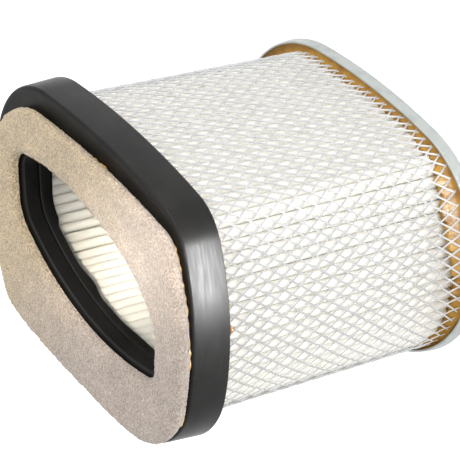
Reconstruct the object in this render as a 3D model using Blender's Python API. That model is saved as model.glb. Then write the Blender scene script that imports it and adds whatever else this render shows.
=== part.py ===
"""Replaceable air filter element of a small engine: a pleated paper ring in an expanded-metal
screen, potted into a black moulded end frame with a foam gasket, and into a metal end pan.

Frame: +Z runs along the filter axis from the closed pan to the foam gasket, and +X along the
long axis of the section. The origin is on the axis, on the underside of the pan. Metres."""

from math import cos, pi, radians, sin

import bmesh
import bpy

MM = 0.001
GAP = 0.3 * MM  # bonded pieces stand this far apart

# Section. Every outline is a closed curve of arcs that is the same after half a turn. Each arc
# is the direction of its first outward normal in degrees, and its radius in millimetres.
SECTION = ((-61.0, 30.6), (24.0, 100.0), (57.0, 20.6), (105.0, 328.0))
THROAT = ((-52.0, 4.4), (36.8, 113.0), (43.0, 14.5), (84.0, 113.0))
SCREEN = ((-61.0, 28.5), (24.0, 96.2), (57.0, 12.3), (105.0, 313.3))
SCREEN_SHIFT = (0.8 * MM, 0.3 * MM)
CORE = ((-61.0, 13.0), (24.0, 82.0), (57.0, 6.0), (105.0, 310.0))
PAD = ((-61.0, 27.5), (24.0, 89.5), (60.0, 12.5), (107.0, 397.5))
PAD_SHIFT = (3.4 * MM, -0.9 * MM)  # the gasket is glued on a little off the axis
PAN = ((-61.0, 44.9), (24.0, 52.8), (57.0, 45.4), (105.0, 279.4))
PAN_SHIFT = (-1.2 * MM, -0.1 * MM)  # and the pan was potted a little off it
STATIONS = 96  # points round each outline
CORNER_CUT = 0.3  # where the middle of a rounded edge stands, as a share of its radius

# Moulded end frame
FRAME_FRONT = 126.0 * MM
SKIRT_DEPTH = 15.0 * MM
FRAME_REAR = FRAME_FRONT - SKIRT_DEPTH
SKIRT_WALL = 1.9 * MM
SKIRT_DRAFT = 1.1 * MM  # the skirt widens by this much towards its rear edge
EDGE_ROUND = 1.6 * MM
PLATE_THICKNESS = 3.0 * MM
LIP_WALL = 2.0 * MM
LIP_DEPTH = 6.5 * MM

# Throat sleeve, with a wavy rear edge
SLEEVE_WALL = 1.8 * MM
SLEEVE_STEP_IN = 0.4 * MM
SLEEVE_DEPTH = 4.2 * MM
SLEEVE_WAVE = 0.9 * MM
SLEEVE_WAVES = ((5, 0.7, 0.0), (9, 0.3, 1.0))  # waves round the edge: count, share and phase

# Foam gasket on its film of adhesive
FILM = 0.4 * MM
FILM_INSET = 2.5 * MM
GASKET_HOLE = 2.0 * MM  # the gasket's hole stands clear of the throat by this much
GASKET_PROUD = 5.5 * MM
GASKET_ROUND = 1.8 * MM

# Screen and paper
SCREEN_THICKNESS = 1.1 * MM
PLEATS = 78
PAPER = 0.5 * MM
OUTER_FOLD = 0.8 * MM
OUTER_FOLD_TURNS = (-90, 0, 90)
INNER_FOLD = 0.5 * MM
INNER_FOLD_TURNS = (-90, 180, 90)
FOLD_LINE = -SCREEN_THICKNESS - GAP - OUTER_FOLD - PAPER / 2  # outer fold centres, from the screen
SEAM_PLEAT = 31
SEAM_RADIUS = 0.55 * MM
SEAM_SHARE = 0.3  # where the seam stands between the mouth of its fold and the tip
SEAM_SIDES = 12

# Metal end pan and the plastisol in it
PAN_RIM = 5.0 * MM
PAN_FLARE = 0.5 * MM  # the rim leans in, and is wider by this much at the bend
PAN_SHEET = 0.8 * MM
PAN_BEND = 1.2 * MM
BED_TOP = 2.4 * MM

# Sealant in the frame's channel, and the bead of it behind the skirt
POTTING_REAR = 113.0 * MM
POTTING_COVER = 1.4 * MM
BEAD_HEIGHT = 0.8 * MM
BEAD_INSET = 0.3 * MM
BEAD_SLOPE = 0.3 * MM

SHARP_EDGE = radians(35)


def clear_scene():
    for obj in list(bpy.data.objects):
        bpy.data.objects.remove(obj, do_unlink=True)


def material(name, color, roughness, metallic=0.0):
    made = bpy.data.materials.new(name)
    made.use_nodes = True
    shader = made.node_tree.nodes["Principled BSDF"]
    shader.inputs["Base Color"].default_value = (*color, 1.0)
    shader.inputs["Roughness"].default_value = roughness
    shader.inputs["Metallic"].default_value = metallic
    return made


def half_outline(arcs):
    """The arcs of half an outline, each as its first normal, its last normal and its radius."""
    starts = [radians(normal) for normal, _ in arcs]
    stops = starts[1:] + [starts[0] + pi]
    return [(start, stop, radius * MM) for start, stop, (_, radius) in zip(starts, stops, arcs)]


def outline_point(arcs, normal, offset=0.0):
    """The point of the outline whose outward normal has this direction, moved out by offset."""
    half = half_outline(arcs)
    turns, rest = divmod(normal - half[0][0], pi)
    reached = half[0][0] + rest
    x = y = across_x = across_y = 0.0
    for start, stop, radius in half:
        end = min(max(reached, start), stop)
        x += radius * (cos(end) - cos(start))
        y += radius * (sin(end) - sin(start))
        across_x += radius * (cos(stop) - cos(start))
        across_y += radius * (sin(stop) - sin(start))
    side = -1.0 if turns % 2 else 1.0
    x = side * (x - across_x / 2) + offset * cos(normal)
    y = side * (y - across_y / 2) + offset * sin(normal)
    return x, y


def ring(arcs, offset, z, shift=(0.0, 0.0)):
    """One closed ring of points: an outline moved out by offset, at height z or z(normal)."""
    points = []
    for station in range(STATIONS):
        normal = 2 * pi * station / STATIONS
        x, y = outline_point(arcs, normal, offset)
        height = z(normal) if callable(z) else z
        points.append((x + shift[0], y + shift[1], height))
    return points


def solid(name, rings, capped, finish):
    """A closed body skinned over rings of points: capped at both ends, or back to the first."""
    mesh = bmesh.new()
    rows = [[mesh.verts.new(point) for point in points] for points in rings]
    pairs = list(zip(rows, rows[1:]))
    if not capped:
        pairs.append((rows[-1], rows[0]))
    for low, high in pairs:
        for i in range(len(low)):
            j = (i + 1) % len(low)
            mesh.faces.new((low[i], low[j], high[j], high[i]))
    if capped:
        mesh.faces.new(list(reversed(rows[0])))
        mesh.faces.new(rows[-1])
    bmesh.ops.recalc_face_normals(mesh, faces=mesh.faces)
    data = bpy.data.meshes.new(name)
    mesh.to_mesh(data)
    mesh.free()
    data.shade_smooth()
    data.set_sharp_from_angle(angle=SHARP_EDGE)
    data.materials.append(finish)
    made = bpy.data.objects.new(name, data)
    bpy.context.scene.collection.objects.link(made)
    return made


def end_frame(finish):
    """Front plate with a drafted outer skirt and a short lip round the throat."""
    plate_rear = FRAME_FRONT - PLATE_THICKNESS
    lip_rear = FRAME_FRONT - LIP_DEPTH
    rounding = EDGE_ROUND * CORNER_CUT
    rings = [
        ring(SECTION, -EDGE_ROUND, FRAME_FRONT),
        ring(SECTION, -rounding, FRAME_FRONT - rounding),
        ring(SECTION, 0, FRAME_FRONT - EDGE_ROUND),
        ring(SECTION, SKIRT_DRAFT, FRAME_REAR),
        ring(SECTION, SKIRT_DRAFT - SKIRT_WALL, FRAME_REAR),
        ring(SECTION, -SKIRT_WALL, plate_rear),
        ring(THROAT, LIP_WALL, plate_rear),
        ring(THROAT, LIP_WALL, lip_rear),
        ring(THROAT, 0, lip_rear),
        ring(THROAT, 0, FRAME_FRONT - EDGE_ROUND / 2),
        ring(THROAT, EDGE_ROUND / 2, FRAME_FRONT),
    ]
    solid("end_frame", rings, False, finish)


def sleeve_rear(normal):
    """Height of the sleeve's rear edge, which waves as the moulding was poured."""
    rear = FRAME_FRONT - LIP_DEPTH - GAP - SLEEVE_DEPTH
    waves = sum(share * sin(count * normal + phase) for count, share, phase in SLEEVE_WAVES)
    return rear + SLEEVE_WAVE * waves


def throat_sleeve(finish):
    front = FRAME_FRONT - LIP_DEPTH - GAP
    rings = [
        ring(THROAT, SLEEVE_STEP_IN, front),
        ring(THROAT, SLEEVE_STEP_IN + SLEEVE_WALL, front),
        ring(THROAT, SLEEVE_STEP_IN + SLEEVE_WALL, sleeve_rear),
        ring(THROAT, SLEEVE_STEP_IN, sleeve_rear),
    ]
    solid("throat_sleeve", rings, False, finish)


def gasket_adhesive(finish):
    low = FRAME_FRONT + GAP
    rings = [
        ring(PAD, -FILM_INSET, low, PAD_SHIFT),
        ring(PAD, -FILM_INSET, low + FILM, PAD_SHIFT),
        ring(THROAT, GASKET_HOLE + FILM_INSET, low + FILM),
        ring(THROAT, GASKET_HOLE + FILM_INSET, low),
    ]
    solid("gasket_adhesive", rings, False, finish)


def foam_gasket(finish):
    low = FRAME_FRONT + FILM + 2 * GAP
    high = FRAME_FRONT + GASKET_PROUD
    rounding = GASKET_ROUND * CORNER_CUT
    rings = [
        ring(PAD, 0, low, PAD_SHIFT),
        ring(PAD, 0, high - GASKET_ROUND, PAD_SHIFT),
        ring(PAD, -rounding, high - rounding, PAD_SHIFT),
        ring(PAD, -GASKET_ROUND, high, PAD_SHIFT),
        ring(THROAT, GASKET_HOLE + GASKET_ROUND, high),
        ring(THROAT, GASKET_HOLE + rounding, high - rounding),
        ring(THROAT, GASKET_HOLE, high - GASKET_ROUND),
        ring(THROAT, GASKET_HOLE, low),
    ]
    solid("foam_gasket", rings, False, finish)


def front_potting(finish):
    """Sealant that fills the frame's channel and covers the front ends of screen and paper."""
    high = FRAME_FRONT - PLATE_THICKNESS - GAP
    low = high - POTTING_COVER
    rings = [
        ring(SECTION, -SKIRT_WALL - GAP, high),
        ring(SECTION, -SKIRT_WALL - GAP, POTTING_REAR),
        ring(SCREEN, GAP, POTTING_REAR, SCREEN_SHIFT),
        ring(SCREEN, GAP, low, SCREEN_SHIFT),
        ring(THROAT, LIP_WALL + GAP, low),
        ring(THROAT, LIP_WALL + GAP, high),
    ]
    solid("front_potting", rings, False, finish)
    return low


def potting_bead(finish):
    """Thin line of sealant squeezed out behind the skirt's rear edge."""
    high = FRAME_REAR - GAP
    rings = [
        ring(SECTION, SKIRT_DRAFT - BEAD_INSET, high),
        ring(SECTION, SKIRT_DRAFT - BEAD_INSET - BEAD_SLOPE, high - BEAD_HEIGHT),
        ring(SCREEN, GAP, high - BEAD_HEIGHT, SCREEN_SHIFT),
        ring(SCREEN, GAP, high, SCREEN_SHIFT),
    ]
    solid("potting_bead", rings, False, finish)


def outer_screen(low, high, finish):
    """The envelope of the expanded-metal screen."""
    rings = [
        ring(SCREEN, 0, low, SCREEN_SHIFT),
        ring(SCREEN, 0, high, SCREEN_SHIFT),
        ring(SCREEN, -SCREEN_THICKNESS, high, SCREEN_SHIFT),
        ring(SCREEN, -SCREEN_THICKNESS, low, SCREEN_SHIFT),
    ]
    solid("outer_screen", rings, False, finish)


def evenly_spaced_normals(arcs, offset, count):
    """The normals at count points spaced evenly along an outline, worked out arc by arc."""
    spans = [(start, stop, radius + offset) for start, stop, radius in half_outline(arcs)]
    half_length = sum((stop - start) * radius for start, stop, radius in spans)
    found = []
    for i in range(count):
        turns, left = divmod(2 * half_length * i / count, half_length)
        for start, stop, radius in spans:
            length = (stop - start) * radius
            if left <= length:
                found.append(start + left / radius + turns * pi)
                break
            left -= length
    return found


def fold(centre, normal, radius, turns):
    """The points round one fold of the paper."""
    x, y = centre
    around = [normal + radians(turn) for turn in turns]
    return [(x + radius * cos(angle), y + radius * sin(angle)) for angle in around]


def tip_centre(normal):
    """The centre of an outer fold, just inside the screen."""
    x, y = outline_point(SCREEN, normal, FOLD_LINE)
    return x + SCREEN_SHIFT[0], y + SCREEN_SHIFT[1]


def paper_outline(side):
    """One face of the pleated ribbon: side is half its thickness, and negative on the core face."""
    spaced = evenly_spaced_normals(SCREEN, FOLD_LINE, 2 * PLEATS)
    points = []
    for tip, valley in zip(spaced[::2], spaced[1::2]):
        points += fold(tip_centre(tip), tip, OUTER_FOLD + side, OUTER_FOLD_TURNS)
        points += fold(outline_point(CORE, valley), valley, INNER_FOLD - side, INNER_FOLD_TURNS)
    return points


def at_height(points, z):
    return [(x, y, z) for x, y in points]


def pleated_paper(low, high, finish):
    outside = paper_outline(PAPER / 2)
    inside = paper_outline(-PAPER / 2)
    rings = [
        at_height(outside, low),
        at_height(outside, high),
        at_height(inside, high),
        at_height(inside, low),
    ]
    made = solid("pleated_paper", rings, False, finish)
    made.data.shade_flat()


def paper_seam(low, high, finish):
    """Bead of adhesive that joins the ends of the paper, between the sheets of one fold."""
    spaced = evenly_spaced_normals(SCREEN, FOLD_LINE, 2 * PLEATS)
    tip = tip_centre(spaced[2 * SEAM_PLEAT])
    before = outline_point(CORE, spaced[2 * SEAM_PLEAT - 1])
    after = outline_point(CORE, spaced[2 * SEAM_PLEAT + 1])
    mouth = [(first + second) / 2 for first, second in zip(before, after)]
    x, y = [start + SEAM_SHARE * (end - start) for start, end in zip(mouth, tip)]
    around = [2 * pi * i / SEAM_SIDES for i in range(SEAM_SIDES)]
    circle = [(x + SEAM_RADIUS * cos(a), y + SEAM_RADIUS * sin(a)) for a in around]
    solid("paper_seam", [at_height(circle, low), at_height(circle, high)], True, finish)


def rear_plastisol(finish):
    """Bed of plastisol that fills the bottom of the pan, under screen and paper."""
    low = PAN_SHEET + GAP
    wall = PAN_FLARE - PAN_SHEET - GAP
    lean = PAN_FLARE * (BED_TOP - PAN_BEND) / (PAN_RIM - PAN_BEND)
    rings = [
        ring(PAN, wall - PAN_BEND, low, PAN_SHIFT),
        ring(PAN, wall - lean, BED_TOP, PAN_SHIFT),
    ]
    solid("rear_plastisol", rings, True, finish)


def end_pan(finish):
    """Stamped metal pan: a flat floor and a rim that leans in."""
    cut = PAN_BEND * CORNER_CUT
    rings = [
        ring(PAN, PAN_FLARE - PAN_BEND, 0, PAN_SHIFT),
        ring(PAN, PAN_FLARE - cut, cut, PAN_SHIFT),
        ring(PAN, PAN_FLARE, PAN_BEND, PAN_SHIFT),
        ring(PAN, 0, PAN_RIM, PAN_SHIFT),
        ring(PAN, -PAN_SHEET, PAN_RIM, PAN_SHIFT),
        ring(PAN, PAN_FLARE - PAN_SHEET, PAN_BEND, PAN_SHIFT),
        ring(PAN, PAN_FLARE - PAN_BEND, PAN_SHEET, PAN_SHIFT),
    ]
    solid("end_pan", rings, True, finish)


def main():
    clear_scene()
    black = material("black_moulding", (0.018, 0.018, 0.017), 0.38)
    sealant = material("black_sealant", (0.012, 0.012, 0.012), 0.5)
    amber = material("amber_plastisol", (0.50, 0.20, 0.03), 0.35)
    adhesive = material("yellow_adhesive", (0.62, 0.42, 0.14), 0.5)
    foam = material("open_cell_foam", (0.55, 0.44, 0.32), 0.95)
    paper = material("filter_paper", (0.85, 0.80, 0.66), 0.9)
    white = material("white_coated_steel", (0.80, 0.81, 0.78), 0.55)
    steel = material("galvanised_steel", (0.62, 0.66, 0.64), 0.4, 0.6)

    end_frame(black)
    throat_sleeve(black)
    gasket_adhesive(adhesive)
    foam_gasket(foam)
    potting_low = front_potting(sealant)
    potting_bead(amber)
    front_end = potting_low - GAP
    rear_end = BED_TOP + GAP
    outer_screen(rear_end, front_end, white)
    pleated_paper(rear_end, front_end, paper)
    paper_seam(rear_end, front_end, adhesive)
    rear_plastisol(amber)
    end_pan(steel)


main()
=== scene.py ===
"""Looks of the oval air filter element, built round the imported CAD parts. Metres, +Z along the
filter axis from the metal end pan to the foam gasket, +X along the long axis of the section."""

from math import atan2, cos, pi, radians, sin, tau

import bpy
import numpy as np
from mathutils import Matrix, Vector, noise


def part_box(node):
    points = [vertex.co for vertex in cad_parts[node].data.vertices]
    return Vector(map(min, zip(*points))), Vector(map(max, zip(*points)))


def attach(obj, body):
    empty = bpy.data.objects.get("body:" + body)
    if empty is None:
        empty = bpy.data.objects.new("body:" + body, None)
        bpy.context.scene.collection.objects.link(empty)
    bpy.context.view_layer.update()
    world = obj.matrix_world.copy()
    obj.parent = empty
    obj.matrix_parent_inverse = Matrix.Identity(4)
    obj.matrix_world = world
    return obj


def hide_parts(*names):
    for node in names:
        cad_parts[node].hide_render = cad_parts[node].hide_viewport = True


MM = 0.001
BODY = "root"

# Section. Each arc of an outline is the direction of its first outward normal in degrees and its
# radius in millimetres, and every outline is the same after half a turn.
SECTION = ((-61.0, 30.6), (24.0, 100.0), (57.0, 20.6), (105.0, 328.0))
THROAT = ((-52.0, 4.4), (36.8, 113.0), (43.0, 14.5), (84.0, 113.0))
CORE = ((-61.0, 13.0), (24.0, 82.0), (57.0, 6.0), (105.0, 310.0))
SCREEN = ((-61.0, 28.5), (24.0, 96.2), (57.0, 12.3), (105.0, 313.3))
SCREEN_SHIFT = complex(0.8, 0.3) * MM
PAD = ((-61.0, 27.5), (24.0, 89.5), (60.0, 12.5), (107.0, 397.5))
PAD_SHIFT = complex(3.4, -0.9) * MM
PAN = ((-61.0, 44.9), (24.0, 52.8), (57.0, 45.4), (105.0, 279.4))
PAN_SHIFT = complex(-1.2, -0.1) * MM
TABLE_POINTS = 4096  # points worked out along an outline before it is sampled by direction

# Points round each piece.
SMOOTH_POINTS = 560
RAGGED_POINTS = 900
FOAM_POINTS = 1000
SLEEVE_POINTS = 720

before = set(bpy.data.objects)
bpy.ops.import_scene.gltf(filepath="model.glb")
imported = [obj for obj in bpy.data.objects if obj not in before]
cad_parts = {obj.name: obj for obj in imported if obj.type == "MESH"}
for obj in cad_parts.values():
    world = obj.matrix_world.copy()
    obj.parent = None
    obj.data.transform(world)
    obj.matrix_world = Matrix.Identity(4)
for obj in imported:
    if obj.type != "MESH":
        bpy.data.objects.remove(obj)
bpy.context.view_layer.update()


def top(node):
    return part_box(node)[1].z


def bottom(node):
    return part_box(node)[0].z


FRAME_FRONT = top("end_frame")
FRAME_REAR = bottom("end_frame")
GASKET_FRONT = top("foam_gasket")
GASKET_REAR = bottom("foam_gasket")
SLEEVE_FRONT = top("throat_sleeve")
PAPER_LOW = bottom("pleated_paper")
PAPER_HIGH = top("pleated_paper")
PAN_RIM = top("end_pan")
BED_LOW = bottom("rear_plastisol")
BED_TOP = top("rear_plastisol")
GAP = 0.3 * MM  # between pieces that are bonded in the real element

SKIRT_WALL = 1.9 * MM
SKIRT_DRAFT = 1.1 * MM
PLATE_THICKNESS = 3.0 * MM
LIP_WALL = 2.0 * MM
LIP_DEPTH = 6.5 * MM
EDGE_BAND = 4.0 * MM  # width of the rise along the front plate's outer edge
EDGE_RISE = 0.35 * MM
SLEEVE_STEP_IN = 0.4 * MM
SLEEVE_WALL = 1.8 * MM
SLEEVE_DEPTH = 4.2 * MM

SCREEN_THICKNESS = 1.1 * MM
GASKET_HOLE = 2.0 * MM
PAN_FLARE = 0.5 * MM
PAN_SHEET = 0.8 * MM
PAN_BEND = 1.2 * MM


# Outlines ------------------------------------------------------------------------------------


def arcs_of(arcs):
    """First normals, last normals and radii of the arcs of half an outline."""
    starts = np.radians([normal for normal, _ in arcs])
    stops = np.append(starts[1:], starts[0] + pi)
    return starts, stops, np.array([radius for _, radius in arcs]) * MM


def outline(arcs, normals, offset=0.0):
    """Points x + iy of an outline at these outward normals, moved out by offset."""
    starts, stops, radii = arcs_of(arcs)
    normals = np.asarray(normals, float)
    turns, rest = np.divmod(normals - starts[0], pi)
    reached = np.clip((starts[0] + rest)[..., None], starts, stops)
    across = (radii * (np.exp(1j * stops) - np.exp(1j * starts))).sum()
    points = (radii * (np.exp(1j * reached) - np.exp(1j * starts))).sum(-1) - across / 2
    return np.where(turns % 2 == 1, -points, points) + offset * np.exp(1j * normals)


def length_of(arcs, offset):
    starts, stops, radii = arcs_of(arcs)
    return 2 * ((stops - starts) * (radii + offset)).sum()


def normals_along(arcs, offset, lengths):
    """The outward normals at these lengths along an outline that is moved out by offset."""
    starts, stops, radii = arcs_of(arcs)
    knots = np.concatenate([[starts[0]], stops, stops + pi])
    steps = np.tile((stops - starts) * (radii + offset), 2)
    reached = np.concatenate([[0.0], np.cumsum(steps)])
    turns, rest = np.divmod(lengths, reached[-1])
    return np.interp(rest, reached, knots) + tau * turns


def directions_along(arcs, count):
    """Directions from the axis to evenly spaced points of an outline, rising through one turn."""
    lengths = np.arange(count) / count * length_of(arcs, 0.0)
    return np.unwrap(np.angle(outline(arcs, normals_along(arcs, 0.0, lengths))))


def seen_from_axis(arcs, offset, directions):
    """Points of an outline in these directions from the axis."""
    normals = np.linspace(-pi, 3 * pi, 2 * TABLE_POINTS)
    points = outline(arcs, normals, offset)
    angles = np.unwrap(np.angle(points))
    wanted = np.mod(directions - angles[0], tau) + angles[0]
    return np.interp(wanted, angles, points.real) + 1j * np.interp(wanted, angles, points.imag)


def turned_from(degrees, directions):
    """How far directions are from this one, between half a turn back and half a turn on."""
    return np.mod(directions - radians(degrees) + pi, tau) - pi


# Meshes --------------------------------------------------------------------------------------


def raised(points, heights):
    """Points x + iy at these heights, as rows of x, y, z."""
    heights = np.broadcast_to(heights, points.shape)
    return np.stack([points.real, points.imag, heights], axis=-1)


def quads_of(rows, columns, rows_wrap):
    """Corners of the faces of a grid whose columns close on themselves."""
    index = np.arange(rows * columns).reshape(rows, columns)
    if rows_wrap:
        index = np.vstack([index, index[:1]])
    low, high = index[:-1], index[1:]
    faces = [low, np.roll(low, -1, 1), np.roll(high, -1, 1), high]
    return np.stack(faces, axis=-1).reshape(-1, 4)


def mesh_object(name, vertices, faces, finish, sharp_degrees=None):
    data = bpy.data.meshes.new(name)
    data.from_pydata(vertices.reshape(-1, 3).tolist(), [], [list(face) for face in faces])
    data.update()
    data.shade_smooth()
    if sharp_degrees is not None:
        data.set_sharp_from_angle(angle=radians(sharp_degrees))
    data.materials.append(finish)
    made = bpy.data.objects.new(name, data)
    bpy.context.scene.collection.objects.link(made)
    return made


def skinned(name, grid, finish, capped=False, sharp_degrees=None):
    """A closed body over rows of points: back to the first row, or capped at both ends."""
    rows, columns = grid.shape[:2]
    faces = quads_of(rows, columns, not capped).tolist()
    if capped:
        faces.append(list(range(columns))[::-1])
        faces.append(list(range((rows - 1) * columns, rows * columns)))
    return mesh_object(name, grid, faces, finish, sharp_degrees)


def outward(obj):
    """Turns the faces of a closed mesh so that they point out of it."""
    data = obj.data
    data.calc_loop_triangles()
    places = np.empty(3 * len(data.vertices))
    data.vertices.foreach_get("co", places)
    corners = np.empty(3 * len(data.loop_triangles), int)
    data.loop_triangles.foreach_get("vertices", corners)
    triangles = places.reshape(-1, 3)[corners].reshape(-1, 3, 3)
    if np.linalg.det(triangles).sum() < 0:
        data.flip_normals()
    return obj


def lumps(points, size, seed=0.0):
    """Smooth noise from -1 to 1 with this spacing at each point."""
    scaled = points.reshape(-1, 3) / size + seed
    values = [noise.noise(Vector(point)) for point in scaled]
    return np.array(values).reshape(points.shape[:-1])


def pits(points, size, seed=0.0):
    """0 at the middle of cells of this spacing, rising to about 1 where cells meet."""
    scaled = points.reshape(-1, 3) / size + seed
    values = [noise.voronoi(Vector(point))[0][0] for point in scaled]
    return np.clip(np.array(values), 0.0, 1.0).reshape(points.shape[:-1])


def grid_normals(grid):
    """Unit normals of a grid of points whose rows and columns both wrap."""
    along = np.roll(grid, -1, 0) - np.roll(grid, 1, 0)
    across = np.roll(grid, -1, 1) - np.roll(grid, 1, 1)
    found = np.cross(across, along)
    return found / np.maximum(np.linalg.norm(found, axis=-1, keepdims=True), 1e-12)


def rounded(corner, before, after, radius, steps=5):
    """Points of a fillet at the corner of a profile, between its neighbours."""
    corner, before, after = (np.array(point, float) for point in (corner, before, after))
    first = (before - corner) / np.linalg.norm(before - corner)
    second = (after - corner) / np.linalg.norm(after - corner)
    start, end = corner + first * radius, corner + second * radius
    t = np.linspace(0.0, 1.0, steps)[:, None]
    return (1 - t) ** 2 * start + 2 * t * (1 - t) * corner + t**2 * end


def filleted(profile, radii):
    """A closed profile of (x, z) corners with each corner rounded to its radius."""
    count = len(profile)
    pieces = [
        rounded(profile[i], profile[i - 1], profile[(i + 1) % count], radii[i])
        if radii[i]
        else np.array([profile[i]], float)
        for i in range(count)
    ]
    return np.vstack(pieces)


# Materials -----------------------------------------------------------------------------------


class Finish:
    """A procedural material whose node tree is put together in a few calls."""

    def __init__(self, name, **plain):
        self.material = bpy.data.materials.new(name)
        self.material.use_nodes = True
        self.tree = self.material.node_tree
        self.shader = self.tree.nodes["Principled BSDF"]
        self.place = self.tree.nodes.new("ShaderNodeTexCoord").outputs["Object"]
        for socket, value in plain.items():
            self.shader.inputs[socket.replace("_", " ")].default_value = value

    def node(self, kind, links=(), **settings):
        made = self.tree.nodes.new(kind)
        for key, value in settings.items():
            setattr(made, key, value)
        for socket, source in dict(links).items():
            if isinstance(source, bpy.types.NodeSocket):
                self.tree.links.new(source, made.inputs[socket])
            else:
                made.inputs[socket].default_value = source
        return made

    def stretched(self, x, y, z):
        links = {"Vector": self.place, "Scale": (x, y, z)}
        return self.node("ShaderNodeMapping", links).outputs["Vector"]

    def noise(self, size, detail=3.0, place=None, roughness=0.55):
        links = {"Vector": place or self.place, "Scale": 1.0 / size}
        links.update({"Detail": detail, "Roughness": roughness})
        return self.node("ShaderNodeTexNoise", links).outputs["Fac"]

    def cells(self, size):
        links = {"Vector": self.place, "Scale": 1.0 / size}
        return self.node("ShaderNodeTexVoronoi", links).outputs["Distance"]

    def ramp(self, value, *stops):
        """Colours by value: each stop is a position and a colour or a grey."""
        made = self.node("ShaderNodeValToRGB", {"Fac": value})
        elements = made.color_ramp.elements
        while len(elements) < len(stops):
            elements.new(1.0)
        for element, (position, colour) in zip(elements, stops):
            element.position = position
            grey = isinstance(colour, (int, float))
            element.color = (colour, colour, colour, 1.0) if grey else (*colour, 1.0)
        return made.outputs["Color"]

    def mixed(self, share, first, second, blend="MIX"):
        made = self.node("ShaderNodeMix", {"Factor": share}, data_type="RGBA", blend_type=blend)
        for socket, source in ((made.inputs[6], first), (made.inputs[7], second)):
            if isinstance(source, bpy.types.NodeSocket):
                self.tree.links.new(source, socket)
            else:
                socket.default_value = (*source, 1.0)
        return made.outputs[2]

    def plus(self, first, second, share=1.0):
        """The first value and this share of the second."""
        if share != 1.0:
            links = {0: second, 1: share}
            second = self.node("ShaderNodeMath", links, operation="MULTIPLY").outputs[0]
        return self.node("ShaderNodeMath", {0: first, 1: second}, operation="ADD").outputs[0]

    def axis(self, name):
        return self.node("ShaderNodeSeparateXYZ", {"Vector": self.place}).outputs[name]

    def between(self, value, low, high):
        """0 at low and 1 at high, eased."""
        links = {"Value": value, "From Min": low, "From Max": high}
        made = self.node("ShaderNodeMapRange", links, interpolation_type="SMOOTHSTEP")
        return made.outputs["Result"]

    def feed(self, socket, source):
        self.tree.links.new(source, self.shader.inputs[socket])
        return self

    def bumped(self, height, depth, strength=1.0):
        links = {"Height": height, "Distance": depth, "Strength": strength}
        return self.feed("Normal", self.node("ShaderNodeBump", links).outputs["Normal"])


def black_plastic(name, rough_low, rough_high):
    """Moulded black plastic: faint drag lines round the part, dull patches and fine grain."""
    made = Finish(name, Specular_IOR_Level=0.13)
    streaks = made.noise(2.2 * MM, 4.0, made.stretched(0.25, 0.25, 3.0))
    patches = made.noise(16 * MM, 4.0)
    dust = made.noise(0.9 * MM, 2.0)
    speck = made.ramp(dust, (0.66, 0.0), (0.80, 1.0))
    body = made.ramp(patches, (0.3, (0.0060, 0.0060, 0.0058)), (0.7, (0.0115, 0.0110, 0.0105)))
    made.feed("Base Color", made.mixed(speck, body, (0.032, 0.031, 0.029)))
    made.feed("Roughness", made.ramp(streaks, (0.25, rough_low), (0.75, rough_high)))
    grain = made.plus(streaks, made.noise(0.35 * MM, 2.0), 0.35)
    return made.bumped(grain, 0.03 * MM, 0.4).material


TAN_TO_GREY = (-12 * MM, 50 * MM)  # the foam's colour changes between these places along X


def foam_finish():
    """Open-cell foam: painted shade in the pores, painted light on the cell walls and painted
    glints, tan towards -X and greyer towards +X.
    """
    made = Finish("open_cell_foam", Roughness=0.95, Sheen_Weight=0.25, Sheen_Roughness=0.6)
    drift = made.plus(made.axis("X"), made.noise(22 * MM, 3.0), 0.05)
    tan, grey = (0.37, 0.285, 0.175), (0.30, 0.245, 0.205)
    wide = made.mixed(made.between(drift, *TAN_TO_GREY), tan, grey)
    blotch = made.ramp(made.noise(7 * MM, 4.0), (0.30, 0.86), (0.70, 1.06))
    wide = made.mixed(1.0, wide, blotch, "MULTIPLY")
    cell = made.cells(0.85 * MM)
    fine = made.cells(0.5 * MM)
    # Painted shade: the colour darkens in the middle of each cell, where the pores sink, and
    # lightens on the cell walls.
    pore_shade = made.ramp(cell, (0.12, 0.62), (0.48, 1.0), (0.80, 1.18))
    wide = made.mixed(1.0, wide, pore_shade, "MULTIPLY")
    # Painted highlight: small bright tan specks stand in for glints on the foam's cell walls.
    painted_glint = made.ramp(made.noise(0.42 * MM, 1.0), (0.66, 0.0), (0.78, 1.0))
    made.feed("Base Color", made.mixed(painted_glint, wide, (0.86, 0.76, 0.60)))
    height = made.plus(cell, fine, 0.5)
    return made.bumped(height, 0.5 * MM, 0.9).material


def adhesive_finish(name, pale, deep):
    made = Finish(name, Coat_Weight=0.3)
    patches = made.noise(3 * MM, 4.0)
    made.feed("Base Color", made.ramp(patches, (0.3, deep), (0.7, pale)))
    made.feed("Roughness", made.ramp(made.noise(1.2 * MM), (0.3, 0.3), (0.7, 0.55)))
    return made.bumped(made.noise(0.8 * MM, 4.0), 0.25 * MM).material


PAPER_GLOW = 0.22  # share of the paper's shader that lets light through


def paper_finish():
    """Resin-treated paper that lets light through: fibres, and faint yellowing in patches."""
    made = Finish("filter_paper", Roughness=0.9, Sheen_Weight=0.1)
    fibre = made.noise(0.35 * MM, 5.0, made.stretched(1.0, 1.0, 0.35), 0.7)
    yellow, clean = (0.965, 0.94, 0.87), (0.975, 0.96, 0.915)
    tint = made.ramp(made.noise(14 * MM, 3.0), (0.3, yellow), (0.7, clean))
    threads = made.ramp(fibre, (0.3, 0.96), (0.62, 1.0))
    colour = made.mixed(1.0, tint, threads, "MULTIPLY")
    made.feed("Base Color", colour)
    made.bumped(fibre, 0.12 * MM, 0.7)
    through = made.node("ShaderNodeBsdfTranslucent", {"Color": colour}).outputs[0]
    links = {0: PAPER_GLOW, 1: made.shader.outputs[0], 2: through}
    both = made.node("ShaderNodeMixShader", links).outputs[0]
    made.tree.links.new(both, made.tree.nodes["Material Output"].inputs["Surface"])
    return made.material


BRIGHT_FOOT = (15 * MM, 6 * MM)  # the strands turn brighter between these heights, where less painted shade is laid on them


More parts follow.
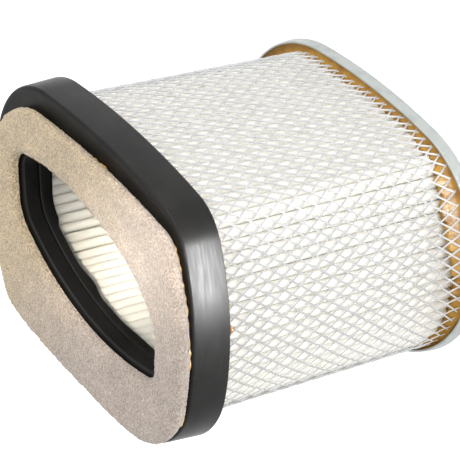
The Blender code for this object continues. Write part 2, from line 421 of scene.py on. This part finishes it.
def screen_finish():
    """Pale galvanised steel strand with dull and bright patches, greyed with painted shade for its
    shaded flanks, and lighter near the pan.
    """
    made = Finish("pale_strand_with_painted_shade", Specular_IOR_Level=0.2)
    patches = made.noise(5 * MM, 4.0)
    # Painted shade: the strand grey is partly the pale metal and partly shade laid on for the
    # strands' shaded flanks; near the pan it lifts to a lighter grey.
    strand = made.ramp(patches, (0.3, (0.37, 0.375, 0.375)), (0.7, (0.46, 0.465, 0.465)))
    foot = made.between(made.axis("Z"), *BRIGHT_FOOT)
    made.feed("Base Color", made.mixed(foot, strand, (0.56, 0.565, 0.56)))
    made.feed("Roughness", made.ramp(made.noise(1.0 * MM), (0.3, 0.45), (0.7, 0.65)))
    return made.bumped(made.noise(0.5 * MM, 3.0), 0.05 * MM).material


def plastisol_finish():
    """Amber plastisol: glossy, darker and browner in patches, with small bubbles."""
    made = Finish("amber_plastisol", Specular_IOR_Level=0.3)
    patches = made.noise(6 * MM, 4.0)
    deep, pale = (0.25, 0.115, 0.014), (0.42, 0.225, 0.028)
    body = made.ramp(patches, (0.3, deep), (0.7, pale))
    bubbles = made.cells(1.4 * MM)
    ring = made.ramp(bubbles, (0.05, 1.15), (0.16, 1.0))
    made.feed("Base Color", made.mixed(1.0, body, ring, "MULTIPLY"))
    made.feed("Roughness", made.ramp(made.noise(2.0 * MM), (0.3, 0.4), (0.7, 0.6)))
    height = made.plus(made.noise(2.5 * MM, 3.0), bubbles, 0.4)
    return made.bumped(height, 0.3 * MM, 0.8).material


def steel_finish():
    """Galvanised sheet with a grey-green passivation, drawn lines and small scuffs."""
    made = Finish("galvanised_steel", Metallic=0.35)
    spangle = made.cells(5.5 * MM)
    drawn = made.noise(0.8 * MM, 3.0, made.stretched(0.3, 0.3, 2.0))
    body = made.ramp(spangle, (0.1, (0.275, 0.30, 0.29)), (0.6, (0.34, 0.36, 0.35)))
    scuff = made.ramp(made.noise(3 * MM, 5.0, None, 0.7), (0.60, 0.0), (0.72, 1.0))
    made.feed("Base Color", made.mixed(scuff, body, (0.41, 0.43, 0.42)))
    made.feed("Roughness", made.ramp(drawn, (0.3, 0.32), (0.7, 0.52)))
    return made.bumped(drawn, 0.05 * MM, 0.6).material


# Pieces --------------------------------------------------------------------------------------


def placed(obj, slot, *nodes):
    """Turns the faces of a piece outward, hangs it on the body and hides the CAD nodes it stands
    for; slot is not used.
    """
    outward(obj)
    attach(obj, BODY)
    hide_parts(*nodes)
    return obj


def swept(profile, directions):
    """A grid over a closed profile of (arcs, offset, z) corners, seen round the axis."""
    rings = [raised(seen_from_axis(arcs, offset, directions), z) for arcs, offset, z in profile]
    return np.stack(rings)


def end_frame(finish):
    """Front plate, drafted skirt and throat lip of the moulded frame, with its edges eased."""
    directions = directions_along(SECTION, SMOOTH_POINTS)
    front, rear = FRAME_FRONT, FRAME_REAR
    plate_rear = front - PLATE_THICKNESS
    lip_rear = front - LIP_DEPTH
    skirt = [
        (-EDGE_BAND, front - EDGE_RISE),
        (-1.5 * MM, front),
        (0.0, front - 0.3 * MM),
        (SKIRT_DRAFT, rear),
        (SKIRT_DRAFT - SKIRT_WALL, rear),
        (-SKIRT_WALL, plate_rear),
    ]
    outer = filleted(skirt, (0.0, 0.9 * MM, 1.0 * MM, 0.35 * MM, 0.3 * MM, 0.0))
    lip = [
        (LIP_WALL, plate_rear),
        (LIP_WALL, lip_rear),
        (0.0, lip_rear),
        (0.0, front),
        (EDGE_BAND, front),
    ]
    inner = filleted(lip, (0.3 * MM, 0.8 * MM, 0.9 * MM, 0.9 * MM, 0.0))
    profile = [(SECTION, offset, z) for offset, z in outer]
    profile += [(THROAT, offset, z) for offset, z in inner]
    grid = swept(profile, directions)
    low = lumps(grid, 30 * MM) * 0.12 * MM
    grid[..., 0] += low * np.sign(grid[..., 0])
    made = skinned("end_frame_moulding", grid, finish, sharp_degrees=50)
    return placed(made, "frame", "end_frame")


BLOCK_AT = 20.0  # degrees round the axis
BLOCK_EDGE = 0.86  # cosine at which a block ends
SLEEVE_EDGE = 0.6 * MM
SLEEVE_EASE = 0.18 * MM


def throat_sleeve(finish):
    """Collar behind the lip, whose rear edge waves, with one thicker block on each flank."""
    directions = np.linspace(0, tau, SLEEVE_POINTS, endpoint=False)
    flow = np.sin(5 * directions + 0.6) * 0.55 + np.sin(9 * directions + 1.0) * 0.3
    block = (np.cos(2 * (directions - radians(BLOCK_AT))) > BLOCK_EDGE).astype(float)
    soft = np.convolve(np.tile(block, 3), np.ones(7) / 7, "same")[SLEEVE_POINTS:][:SLEEVE_POINTS]
    front = SLEEVE_FRONT
    rear = front - SLEEVE_DEPTH + 0.9 * MM * flow - 1.2 * MM * soft
    inner = SLEEVE_STEP_IN - 0.35 * MM * soft
    outer = SLEEVE_STEP_IN + SLEEVE_WALL
    profile = [
        (inner + SLEEVE_EDGE, front),
        (inner + SLEEVE_EASE, front - SLEEVE_EASE),
        (inner, front - SLEEVE_EDGE),
        (inner, (front + rear) / 2),
        (inner, rear + SLEEVE_EDGE),
        (inner + SLEEVE_EASE, rear + SLEEVE_EASE),
        (inner + SLEEVE_EDGE, rear),
        (outer, rear),
        (outer, front),
    ]
    grid = np.stack([raised(offset_ring(THROAT, at, directions), z) for at, z in profile])
    made = skinned("throat_sleeve_moulding", grid, finish, sharp_degrees=60)
    return placed(made, "frame", "throat_sleeve")


def offset_ring(arcs, offsets, directions):
    """Points in these directions from the axis, each with its own offset from the outline."""
    base = seen_from_axis(arcs, 0.0, directions)
    grown = seen_from_axis(arcs, 1 * MM, directions)
    return base + (grown - base) * np.asarray(offsets) / MM


# Section of the pad: share of the way from its outer edge to its hole, and share of its height.
PAD_SECTION = (
    (0.02, 0.0),
    (0.0, 0.22),
    (-0.006, 0.45),
    (0.01, 0.66),
    (0.05, 0.85),
    (0.13, 0.97),
    (0.21, 1.0),
    (0.30, 0.96),
    (0.42, 0.87),
    (0.56, 0.81),
    (0.70, 0.77),
    (0.83, 0.67),
    (0.93, 0.49),
    (0.985, 0.26),
    (1.0, 0.0),
)
PAD_WIDTH_TO_HEIGHT = (20, 5)  # for spacing the points of the section evenly
PAD_ROWS = 84


def foam_gasket(finish):
    """Foam pad: domed, softly ridged inside its outer edge, its cells cut open all over."""
    directions = directions_along(PAD, FOAM_POINTS)
    outer = seen_from_axis(PAD, 0.0, directions) + PAD_SHIFT
    inner = seen_from_axis(THROAT, GASKET_HOLE, directions)
    low, high = GASKET_REAR, GASKET_FRONT
    rise = high - low
    section = np.array(PAD_SECTION)
    steps = np.hypot(*np.diff(section * PAD_WIDTH_TO_HEIGHT, axis=0).T)
    knots = np.concatenate([[0], np.cumsum(steps)])
    spaced = np.linspace(0, knots[-1], PAD_ROWS)
    share = np.interp(spaced, knots, section[:, 0])[:, None]
    level = np.interp(spaced, knots, section[:, 1])[:, None]
    points = outer + (inner - outer) * share
    face = raised(points, low + rise * level)
    under = raised(outer + (inner - outer) * np.linspace(0.97, 0.04, 8)[:, None], low)
    grid = np.concatenate([face, under])
    body = lumps(grid, 17 * MM, 3.1) * 0.35 + lumps(grid, 5 * MM, 7.7) * 0.22
    cells = (pits(grid, 1.15 * MM) - 0.45) * 0.9 + lumps(grid, 1.9 * MM, 1.3) * 0.45
    depth = (body + cells * 0.6 - 0.2) * MM
    fade = np.concatenate([np.ones(len(face)), np.zeros(len(under))])
    fade[0] = fade[len(face) - 1] = 0.3
    grid = grid + grid_normals(grid) * (depth * fade[:, None])[..., None]
    made = skinned("foam_gasket_pad", grid, finish)
    placed(made, "foam", "foam_gasket")
    return made


FILM_HOLE = 4.5 * MM  # from the throat's edge to the film


def gasket_adhesive(finish):
    """Film of glue under the foam, squeezed out unevenly along the pad's outer edge."""
    directions = directions_along(PAD, RAGGED_POINTS)
    edge = seen_from_axis(PAD, 0.0, directions)
    ragged = lumps(raised(edge, 0.0), 2.5 * MM) * 0.45 + lumps(raised(edge, 0.0), 13 * MM) * 0.9
    out = (-2.0 + 1.9 * ragged) * MM
    low, high = FRAME_FRONT + 0.05 * MM, GASKET_REAR + 0.25 * MM
    middle = (FRAME_FRONT + high) / 2
    profile = [(out, low), (out + 0.15 * MM, middle), (out - 0.1 * MM, high)]
    rings = [raised(offset_ring(PAD, at, directions) + PAD_SHIFT, z) for at, z in profile]
    hole = seen_from_axis(THROAT, FILM_HOLE, directions)
    grid = np.stack(rings + [raised(hole, high), raised(hole, low)])
    made = skinned("gasket_adhesive_film", grid, finish)
    return placed(made, "adhesive", "gasket_adhesive")


CELLS_AROUND = 75
CELL_HEIGHT = 7.15 * MM
STRAND_WIDTH = 0.62 * MM
STRAND_SHEET = 0.32 * MM
STRAND_TILT = radians(24)
BOND_LENGTH = 0.25 * MM
BOND_OVERLAP = 0.12 * MM  # from the middle of a bond to the middle of a strand in it
FIRST_BOND = 0.35  # of half a cell, below the screen's foot
STRAND_SWELL = 1.04  # width over the corners of a strand
STRAND_STRAY = 0.12 * MM
STRAND_LIFT = 0.08 * MM


def outer_screen(finish):
    """Expanded metal: strands that zigzag along the axis and are joined where they meet."""
    middle = -SCREEN_THICKNESS / 2
    half_cell = length_of(SCREEN, middle) / CELLS_AROUND / 2
    half_rise = CELL_HEIGHT / 2
    low, high = BED_TOP - 0.3 * MM, PAPER_HIGH
    bond = BOND_LENGTH / half_rise / 2
    slant = 1.0 / cos(atan2(half_cell - 2 * BOND_OVERLAP, half_rise - BOND_LENGTH))
    levels, swing = [], []
    for row in range(int((high - low) / half_rise) + 2):
        at = low + (row - FIRST_BOND) * half_rise
        for part, share in ((-bond, 0), (bond, 0), (0.5, 0.5)):
            levels.append(at + part * half_rise)
            swing.append(row % 2 + (1 - 2 * (row % 2)) * share)
    levels = np.array(levels)
    keep = (levels > low) & (levels < high)
    levels, swing = levels[keep], np.array(swing)[keep]
    count = 2 * CELLS_AROUND
    strand = np.arange(count)[:, None]
    swing = np.where(strand % 2 == 0, swing, 1 - swing)
    near = strand * half_cell + BOND_OVERLAP
    far = (strand + 1) * half_cell - BOND_OVERLAP
    along = near + (far - near) * swing
    out = middle + STRAND_WIDTH / 2 * sin(STRAND_TILT) * (1 - 2 * swing)
    wobble = lumps(np.stack(np.broadcast_arrays(along, strand, levels), -1), 11 * MM)
    along = along + wobble * STRAND_STRAY
    out = out + np.roll(wobble, 7, 1) * STRAND_LIFT
    wide, thick = STRAND_WIDTH / 2 * STRAND_SWELL, STRAND_SHEET / 2
    corners = []
    for side, face in ((-1, -1), (1, -1), (1, 1), (-1, 1)):
        shift = side * wide * cos(STRAND_TILT) * slant - face * thick * sin(STRAND_TILT)
        lift = side * wide * sin(STRAND_TILT) + face * thick * cos(STRAND_TILT)
        corners.append((along + shift, out + lift))
    places = np.stack([place for place, _ in corners], -1)
    offsets = np.stack([offset for _, offset in corners], -1)
    normals = normals_along(SCREEN, middle, places)
    points = outline(SCREEN, normals, 0.0) + SCREEN_SHIFT + offsets * np.exp(1j * normals)
    heights = np.broadcast_to(levels[None, :, None], points.shape)
    vertices = raised(points + foot_flare(points, heights), heights)
    corners_each = 4 * len(levels)
    caps = [[3, 2, 1, 0], [corners_each - 4, corners_each - 3, corners_each - 2, corners_each - 1]]
    one = np.vstack([quads_of(len(levels), 4, False), caps])
    faces = np.vstack([one + k * corners_each for k in range(count)]).tolist()
    made = mesh_object("expanded_metal_screen", vertices, faces, finish, 30)
    return placed(made, "screen", "outer_screen")


PLEATS = 78
PAPER = 0.5 * MM
OUTER_FOLD = 1.95 * MM
CORE_LINE = 0.6 * MM
FOLD_LINE = -SCREEN_THICKNESS - GAP - OUTER_FOLD - PAPER / 2
FOLD_STRAY = 0.16 * MM
FOLD_EASE = 0.08 * MM
PAPER_LEVELS = 15
FOLD_POINTS = 9


def pleated_paper(finish):
    """One ribbon of paper pleated round the core, with round folds that stray a little."""
    count = 2 * PLEATS
    spaced = np.arange(count) / count * length_of(SCREEN, FOLD_LINE)
    base = normals_along(SCREEN, FOLD_LINE, spaced)
    inner = outline(CORE, base[1::2], CORE_LINE)
    spacing = (abs(np.roll(inner, -1) - inner) + abs(np.roll(inner, 1) - inner)) / 2
    inner_fold = np.repeat(spacing / 2 - PAPER / 2 - FOLD_EASE, 2)
    levels = np.linspace(PAPER_LOW, PAPER_HIGH, PAPER_LEVELS)
    turns = np.linspace(-pi / 2, pi / 2, FOLD_POINTS)
    sheets = []
    for side in (PAPER / 2, -PAPER / 2):
        rings = []
        for z in levels:
            points = []
            for i in range(count):
                key = Vector((i * 3.7, z / (26 * MM), 0.5))
                stray = noise.noise(key) * FOLD_STRAY
                sink = abs(noise.noise(key + Vector((0, 0, 9)))) * FOLD_STRAY
                normal = base[i]
                tangent = 1j * np.exp(1j * normal)
                if i % 2 == 0:
                    centre = outline(SCREEN, normal, FOLD_LINE - sink) + stray * tangent
                    centre += SCREEN_SHIFT
                    points.append(centre + (OUTER_FOLD + side) * np.exp(1j * (normal + turns)))
                else:
                    centre = outline(CORE, normal, CORE_LINE + sink) + stray * tangent
                    back = np.exp(1j * (normal - turns + pi))
                    points.append(centre + (inner_fold[i] - side) * back)
            rings.append(raised(np.concatenate(points), z))
        sheets.append(np.stack(rings))
    grid = np.concatenate([sheets[0], sheets[1][::-1]])
    made = skinned("pleated_paper_ring", grid, finish, sharp_degrees=60)
    return placed(made, "paper", "pleated_paper")


FLARE_SHARE = 0.62  # of the room between the screen and the pan's rim
FLARE_AT = 40.0  # degrees round the axis
FLARE_REACH = 68.0
FLARE_TOP = 22 * MM
CLIMB_AT = 52.0  # degrees round the axis
CLIMB_REACH = 0.40  # radians
CLIMB_ALL_ROUND = 2.6
CLIMB_IN_CORNER = 5.2
CLIMB_RAGGED = 1.8


def foot_flare(points, heights):
    """How far the foot of the screen spreads towards the rim of the pan on its wider side."""
    angles = np.angle(points)
    window = np.exp(-((turned_from(FLARE_AT, angles) / radians(FLARE_REACH)) ** 4))
    screen = abs(seen_from_axis(SCREEN, 0.0, angles) + SCREEN_SHIFT)
    room = abs(seen_from_axis(PAN, -PAN_SHEET, angles) + PAN_SHIFT) - screen
    share = np.clip((FLARE_TOP - heights) / (FLARE_TOP - BED_TOP), 0.0, 1.0)
    return FLARE_SHARE * room * window * share**2 * np.exp(1j * angles)


def climb(directions):
    """How high the plastisol wicked up behind the screen, above the bed."""
    corner = np.exp(-((turned_from(CLIMB_AT, directions) / CLIMB_REACH) ** 2))
    ragged = [noise.noise(Vector((cos(a) * 9, sin(a) * 9, 0.3))) for a in directions]
    fine = [noise.noise(Vector((cos(a) * 34, sin(a) * 34, 5.3))) for a in directions]
    steady = CLIMB_ALL_ROUND + CLIMB_IN_CORNER * corner
    return (steady + CLIMB_RAGGED * np.array(ragged) + CLIMB_RAGGED * np.array(fine)) * MM


def wall_at(z):
    """How far outside the pan's outline its leaning rim stands at this height."""
    return PAN_FLARE * (PAN_RIM - z) / (PAN_RIM - PAN_BEND)


def rear_plastisol(finish):
    """Plastisol bed in the pan, with a meniscus at the rim and a ragged rise at the screen."""
    directions = directions_along(PAN, RAGGED_POINTS)
    level = BED_TOP
    inside = -SCREEN_THICKNESS
    up = climb(directions)
    near_rim = [
        (-PAN_BEND - 0.4 * MM, BED_LOW),
        (-0.1 * MM, BED_LOW + 0.5 * MM),
        (-0.05 * MM, level + 0.9 * MM),
        (-0.4 * MM, level + 0.55 * MM),
        (-1.1 * MM, level + 0.15 * MM),
        (-1.9 * MM, level),
    ]
    near_screen = [
        (0.9 * MM, level + 0.1 * MM),
        (0.2 * MM, level + 0.55 * MM),
        (inside + 0.35 * MM, level + 0.35 * up),
        (inside + 0.1 * MM, level + 0.85 * up),
        (inside - 0.5 * MM, level + up),
        (inside - 1.7 * MM, level + 0.85 * up),
        (inside - 3.6 * MM, level + 0.3 * up),
        (inside - 6.0 * MM, level),
    ]
    rings = []
    for offset, z in near_rim:
        wall = wall_at(max(z, PAN_BEND)) - PAN_SHEET
        rings.append(raised(seen_from_axis(PAN, wall + offset, directions) + PAN_SHIFT, z))
    for offset, z in near_screen:
        ring = seen_from_axis(SCREEN, offset, directions) + SCREEN_SHIFT
        rings.append(raised(ring + foot_flare(ring, z), z))
    last = rings[-1]
    for shrink in (0.8, 0.5, 0.2):
        ring = last.copy()
        ring[:, :2] *= shrink
        rings.append(ring)
    grid = np.stack(rings)
    wave = lumps(grid, 4 * MM, 2.0) * 0.2 * MM + lumps(grid, 13 * MM, 5.0) * 0.2 * MM
    wave[:2] = 0
    grid[..., 2] += wave
    made = skinned("plastisol_bed", grid, finish, capped=True)
    return placed(made, "plastisol", "rear_plastisol")


DROP_AT = 31.0  # degrees round the axis
DROP_REACH = 0.02  # radians
BEAD_CLEARANCE = 0.25 * MM  # from the screen


def potting_bead(finish):
    """Line of sealant squeezed out behind the skirt in places, with one larger drop."""
    directions = directions_along(SECTION, RAGGED_POINTS)
    high = FRAME_REAR - 0.02 * MM
    edge = raised(seen_from_axis(SECTION, 0.0, directions), 0.0)
    ragged = lumps(edge, 9 * MM) * 0.6 + lumps(edge, 2.2 * MM) * 0.3
    drop = np.exp(-((turned_from(DROP_AT, directions) / DROP_REACH) ** 2))
    out = SKIRT_DRAFT + (-0.75 + 0.5 * ragged + 1.3 * drop) * MM
    thick = (0.55 + 0.3 * ragged + 1.2 * drop) * MM
    profile = [
        (out - 0.5 * MM, high),
        (out, high - thick * 0.35),
        (out - 0.35 * MM, high - thick),
        (out - 1.6 * MM, high - thick * 0.8),
    ]
    rings = [raised(offset_ring(SECTION, at, directions), z) for at, z in profile]
    screen = seen_from_axis(SCREEN, 0.0, directions) + SCREEN_SHIFT
    inside = screen + BEAD_CLEARANCE * np.exp(1j * directions)
    grid = np.stack(rings + [raised(inside, high - thick * 1.1), raised(inside, high)])
    made = skinned("potting_bead_line", grid, finish)
    return placed(made, "plastisol", "potting_bead")


FLOOR_BAND = 6.0 * MM  # outer part of the pan's floor, round the flat cap in its middle
DENTS_ABOVE = 1.5 * MM


def end_pan(finish):
    """Stamped pan: flat floor, a bend, and a rim that leans in to an eased edge."""
    directions = directions_along(PAN, SMOOTH_POINTS)
    corners = [
        (PAN_FLARE, 0.0),
        (PAN_FLARE + 0.05 * MM, PAN_BEND),
        (0.0, PAN_RIM),
        (-PAN_SHEET, PAN_RIM),
        (PAN_FLARE - PAN_SHEET, PAN_SHEET),
    ]
    radii = (1.1 * MM, 0.5 * MM, 0.3 * MM, 0.25 * MM, 1.0 * MM)
    profile = filleted(corners, radii)
    inside = PAN_FLARE - FLOOR_BAND
    profile = np.vstack([[(inside, 0.0)], profile, [(inside, PAN_SHEET)]])
    rings = [
        raised(seen_from_axis(PAN, offset, directions) + PAN_SHIFT, z) for offset, z in profile
    ]
    grid = np.stack(rings)
    dent = lumps(grid, 24 * MM, 4.0) * 0.15 * MM
    grid[..., :2] += np.where(grid[..., 2] > DENTS_ABOVE, dent, 0)[..., None]
    made = skinned("stamped_end_pan", grid, finish, capped=True, sharp_degrees=50)
    return placed(made, "pan", "end_pan")


def refinish(node, finish):
    """Gives a CAD node that stays its detailed material."""
    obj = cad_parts[node]
    obj.data.materials.clear()
    obj.data.materials.append(finish)


# Studio --------------------------------------------------------------------------------------

CAMERA_AT = Vector((0.29594, 0.55359, 0.47705))
CAMERA_AHEAD = Vector((-0.39204, -0.73719, -0.55032))
CAMERA_UP = Vector((-0.79396, 0.57330, -0.20237))
LENS = 156.1
SENSOR = 36.0
MIDDLE = Vector((0.0, 0.0, 0.07))
SOFTBOX_SIDE = 1.1
STRIP_AT = Vector((0.060, 0.035, 0.1185))
STRIP_DISTANCE = 0.24
THROAT_AT = Vector((-0.004, -0.014, 0.10))
THROAT_DISTANCE = 0.9
THROAT_SPOT_RADIUS = 0.026
THROAT_WATTS = 75.0
FLOOR_REACH = 12.0


def camera():
    data = bpy.data.cameras.new("camera")
    data.lens = LENS
    data.sensor_width = SENSOR
    data.clip_start = 0.01
    data.clip_end = 100.0
    made = bpy.data.objects.new("camera", data)
    bpy.context.scene.collection.objects.link(made)
    back = -CAMERA_AHEAD.normalized()
    up = (CAMERA_UP - CAMERA_UP.dot(back) * back).normalized()
    turn = Matrix((up.cross(back), up, back)).transposed()
    made.matrix_world = Matrix.Translation(CAMERA_AT) @ turn.to_4x4()
    bpy.context.scene.camera = made


def light(kind, name, at, aim, energy):
    data = bpy.data.lights.new(name, kind)
    data.energy = energy
    made = bpy.data.objects.new(name, data)
    bpy.context.scene.collection.objects.link(made)
    made.location = at
    made.rotation_mode = "QUATERNION"
    made.rotation_quaternion = (Vector(aim) - Vector(at)).to_track_quat("-Z", "Y")
    made.visible_camera = False
    return made


def softbox(name, at, aim, width, height, radiance, glossy_only=False):
    """A rectangular light of this radiance, facing a point."""
    made = light("AREA", name, at, aim, radiance * pi * width * height)
    made.data.shape = "RECTANGLE"
    made.data.size, made.data.size_y = width, height
    if glossy_only:
        made.visible_diffuse = False
        made.visible_transmission = False
    return made


def direction(azimuth, elevation):
    """A unit vector from angles in degrees."""
    azimuth, elevation = radians(azimuth), radians(elevation)
    flat = cos(elevation)
    return Vector((cos(azimuth) * flat, sin(azimuth) * flat, sin(elevation)))


def studio():
    scene = bpy.context.scene
    scene.view_settings.view_transform = "Standard"
    world = bpy.data.worlds.new("studio")
    world.use_nodes = True
    sky = world.node_tree.nodes["Background"]
    sky.inputs["Color"].default_value = (1.0, 1.0, 1.0, 1.0)
    sky.inputs["Strength"].default_value = 1.05
    scene.world = world
    for name, angles, distance, radiance in (
        ("key", (125, 38), 1.7, 4.6),
        ("front", (40, 25), 1.6, 2.6),
    ):
        at = MIDDLE + direction(*angles) * distance
        softbox(name, at, MIDDLE, SOFTBOX_SIDE, SOFTBOX_SIDE, radiance)
    strip_from = STRIP_AT + direction(46, -24) * STRIP_DISTANCE
    softbox("strip", strip_from, STRIP_AT, 0.13, 0.07, 170.0, glossy_only=True)
    glow_from = THROAT_AT - CAMERA_AHEAD.normalized() * THROAT_DISTANCE
    glow = light("SPOT", "throat", glow_from, THROAT_AT, THROAT_WATTS)
    glow.data.spot_size = 2 * atan2(THROAT_SPOT_RADIUS, THROAT_DISTANCE)
    glow.data.spot_blend = 0.6
    glow.data.color = (1.0, 0.93, 0.80)
    glow.data.shadow_soft_size = 0.02
    made = Finish("pale_floor", Roughness=0.8, Specular_IOR_Level=0.2)
    made.shader.inputs["Emission Color"].default_value = (1.0, 1.0, 1.0, 1.0)
    made.shader.inputs["Emission Strength"].default_value = 0.2
    made.feed("Base Color", made.ramp(made.noise(0.4, 3.0), (0.3, 0.88), (0.7, 0.90)))
    corners = np.array([(-1, -1, 0), (1, -1, 0), (1, 1, 0), (-1, 1, 0)]) * FLOOR_REACH
    floor = mesh_object("floor", corners, [(0, 1, 2, 3)], made.material)


def main():
    frame_black = black_plastic("black_moulding", 0.30, 0.44)
    sealant = black_plastic("black_sealant", 0.40, 0.55)
    amber = plastisol_finish()
    bead = adhesive_finish("brown_bead", (0.42, 0.19, 0.05), (0.16, 0.07, 0.025))
    glue = adhesive_finish("yellow_adhesive", (0.72, 0.47, 0.13), (0.52, 0.27, 0.05))
    paper = paper_finish()

    end_frame(frame_black)
    throat_sleeve(frame_black)
    foam_gasket(foam_finish())
    gasket_adhesive(glue)
    outer_screen(screen_finish())
    pleated_paper(paper)
    rear_plastisol(amber)
    potting_bead(bead)
    end_pan(steel_finish())
    refinish("front_potting", sealant)
    refinish("paper_seam", glue)
    camera()
    studio()


main()
